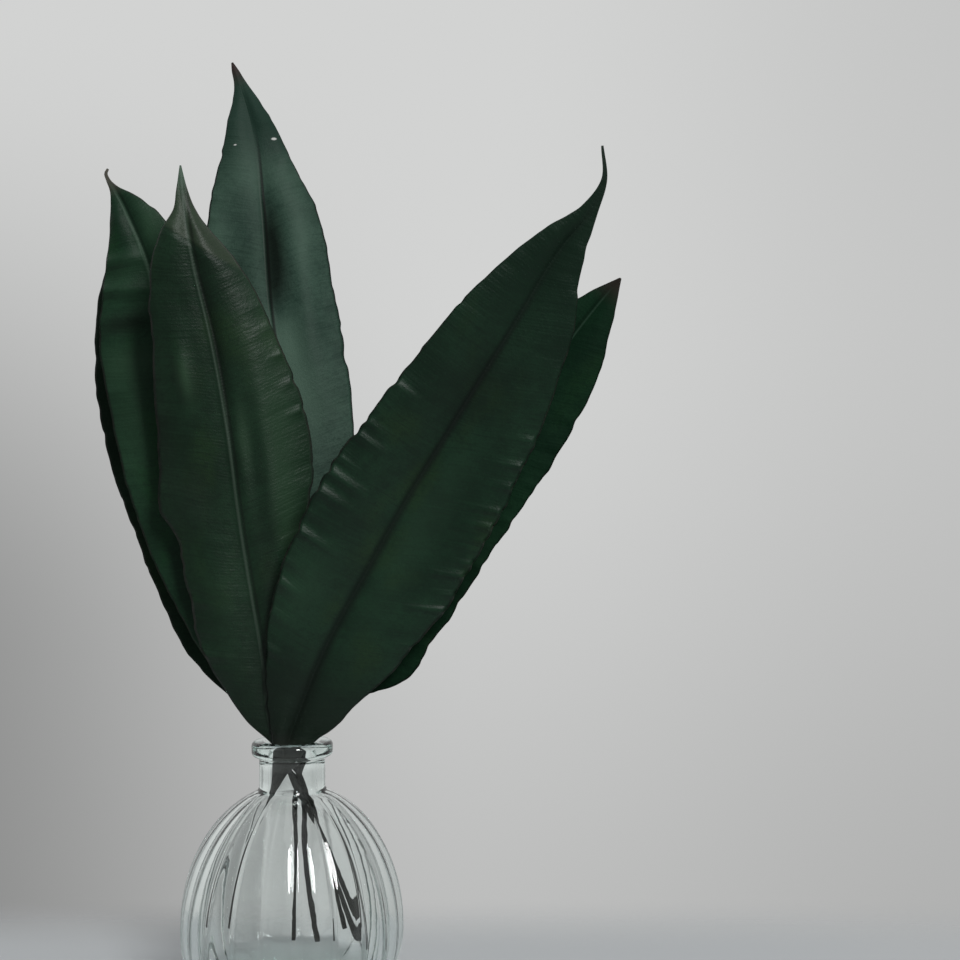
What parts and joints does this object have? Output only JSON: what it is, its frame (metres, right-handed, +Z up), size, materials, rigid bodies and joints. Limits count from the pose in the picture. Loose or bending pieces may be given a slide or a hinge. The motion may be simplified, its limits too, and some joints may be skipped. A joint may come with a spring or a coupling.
{
  "type": "banana leaf arrangement in a glass bud vase",
  "caption": "Long dark banana-type leaves with fine side veins, standing in a fan from the narrow neck of a ribbed clear glass bud vase.",
  "frame": {"origin": "centre of the vase's base, on the surface it stands on", "axes": "+Z up the vase; -Y is the front, which the arrangement faces; +X to the right seen from the front"},
  "size_m": [0.218, 0.1151, 0.3917],
  "materials": {
    "clear_glass": "clear pressed glass with a faint aqua tint",
    "dark_leaf": "semi-matte dark green leaf, fine side veins",
    "green_leaf": "semi-matte green leaf, fine side veins",
    "shaded_leaf": "semi-matte near-black green leaf",
    "grey_leaf": "matte grey-green leaf underside"
  },
  "bodies": {
    "root": {"glass_vase": "clear_glass", "leaf_front_right": "dark_leaf", "leaf_front_left": "green_leaf", "leaf_right_back": "dark_leaf", "leaf_left": "green_leaf", "leaf_left_back": "shaded_leaf", "leaf_tall_back": "grey_leaf"}
  },
  "joints": []
}
